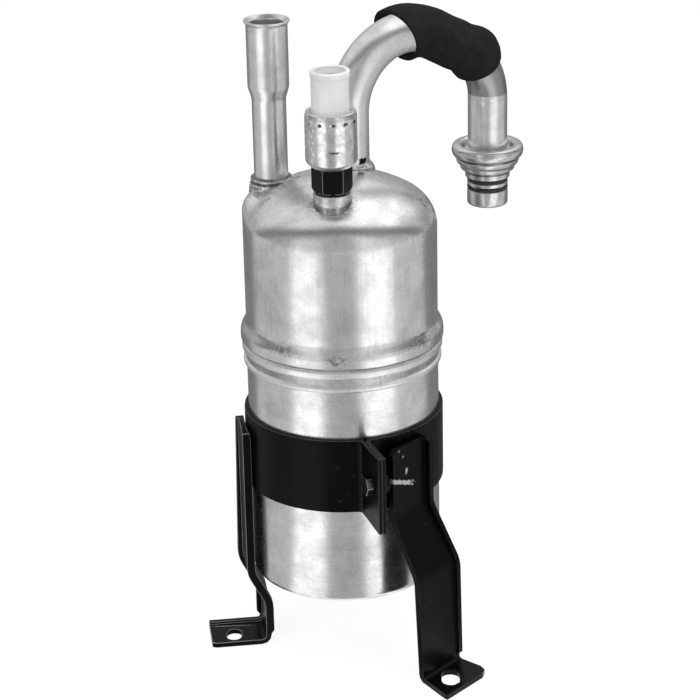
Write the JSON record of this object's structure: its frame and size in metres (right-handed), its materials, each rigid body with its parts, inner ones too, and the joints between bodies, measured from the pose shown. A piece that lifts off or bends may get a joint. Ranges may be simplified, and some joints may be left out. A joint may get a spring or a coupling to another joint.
{
  "type": "receiver drier",
  "caption": "Air conditioning drier: domed aluminium canister with a straight inlet tube, a looped outlet tube with quick-lock coupling, a pressure switch, and a clamp bracket with bent feet",
  "frame": {"origin": "centre of the canister's flat base; the bracket's feet reach below it", "axes": "+Z is the canister's axis, up; the switch is on the -Y side, the inlet tube toward -X, and the outlet loop runs toward +X and +Y"},
  "size_m": [0.1582, 0.1579, 0.3029],
  "materials": {
    "shell_aluminium": "drawn, satin, slightly stained",
    "tube_aluminium": "bare tube, satin",
    "machined_aluminium": "turned, bright",
    "spring_steel": "plated steel",
    "black_paint": "black satin coat on pressed steel",
    "black_plastic": "black moulded",
    "black_foam": "matt foam rubber",
    "black_rubber": "o-ring rubber",
    "white_plastic": "white translucent moulding",
    "white_cloth": "woven felt bag"
  },
  "bodies": {
    "root": {"lower_shell": "shell_aluminium", "upper_shell": "shell_aluminium", "weld_bead": "shell_aluminium", "inlet_tube": "tube_aluminium", "outlet_tube": "tube_aluminium", "inlet_weld_collar": "shell_aluminium", "outlet_weld_collar": "shell_aluminium", "insulation_sleeve": "black_foam", "coupling_tip": "machined_aluminium", "coupling_cage": "machined_aluminium", "coupling_o_ring_1": "black_rubber", "coupling_o_ring_2": "black_rubber", "garter_spring": "spring_steel", "switch_boss": "machined_aluminium", "valve_core": "machined_aluminium", "switch_o_ring": "black_rubber", "switch_hex": "black_plastic", "switch_can": "machined_aluminium", "connector_shroud": "white_plastic", "terminal_pin_1": "machined_aluminium", "terminal_pin_2": "machined_aluminium", "snap_disc": "spring_steel", "clamp_band": "black_paint", "left_leg": "black_paint", "right_leg": "black_paint", "clamp_bolt": "spring_steel", "clamp_nut": "spring_steel", "clamp_washer": "spring_steel", "desiccant_bag": "white_cloth", "pickup_tube": "tube_aluminium", "oil_filter": "white_plastic", "gas_deflector": "shell_aluminium"}
  },
  "joints": []
}
